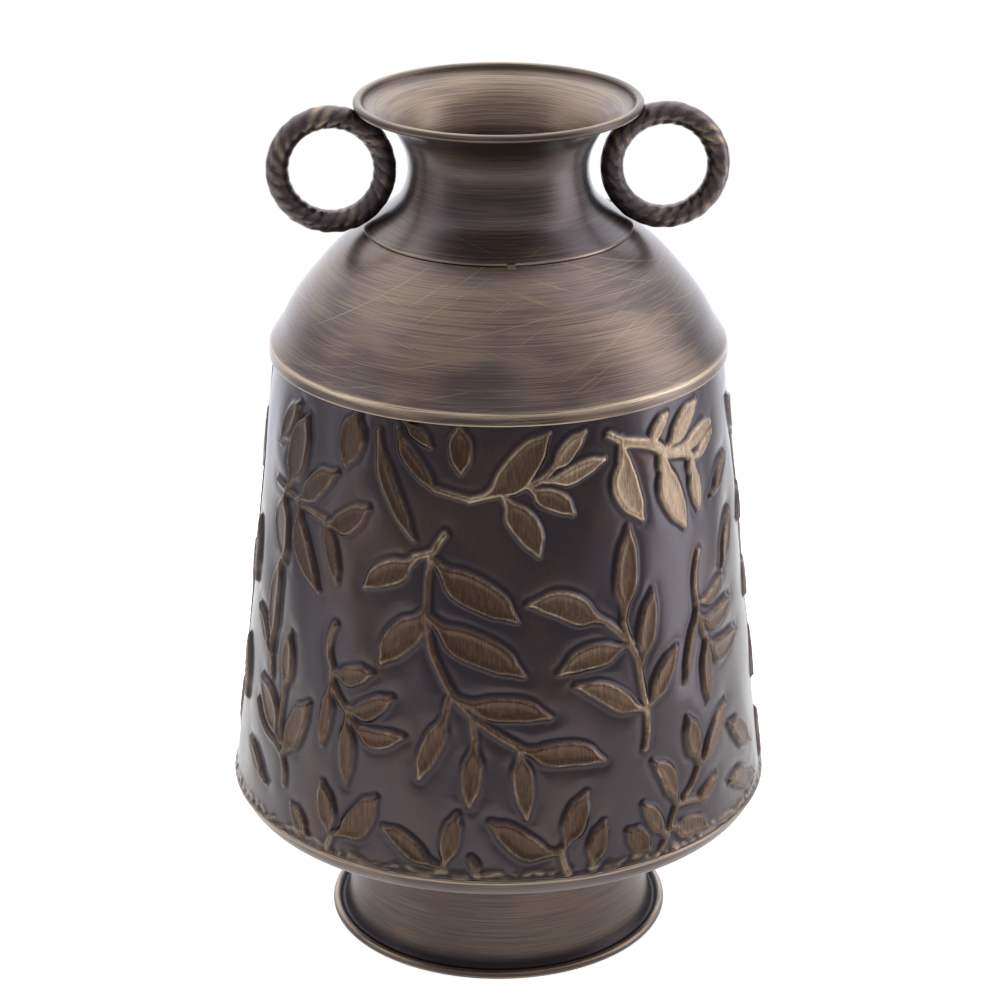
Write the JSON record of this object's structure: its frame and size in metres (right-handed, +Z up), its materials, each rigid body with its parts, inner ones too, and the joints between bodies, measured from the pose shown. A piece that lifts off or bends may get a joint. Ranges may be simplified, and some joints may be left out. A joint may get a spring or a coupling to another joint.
{
  "type": "urn vase",
  "caption": "Tall urn vase of thin metal sheet: spun foot, tapered body embossed with leaf sprigs, domed shoulder, flared neck with a rolled rim and ring handles at its sides.",
  "frame": {"origin": "centre of the foot's underside, on the surface that the vase stands on", "axes": "+Z up along the vase's axis; the pictured front faces -Y; the ring handles stand at -X and +X"},
  "size_m": [0.2384, 0.2384, 0.3786],
  "materials": {
    "sheet_metal": "satin, dark antique bronze patina rubbed back on raised edges",
    "cast_metal": "satin cast surface, dark patina rubbed back on the high spots",
    "weld_metal": "rough, dark patina"
  },
  "bodies": {
    "root": {"foot": "sheet_metal", "foot_welds": "weld_metal", "bottom_pan": "sheet_metal", "body_wall": "sheet_metal", "body_seam": "weld_metal", "shoulder": "sheet_metal", "neck": "sheet_metal", "neck_tacks": "weld_metal", "handle_left": "cast_metal", "handle_right": "cast_metal", "handle_welds": "weld_metal"}
  },
  "joints": []
}
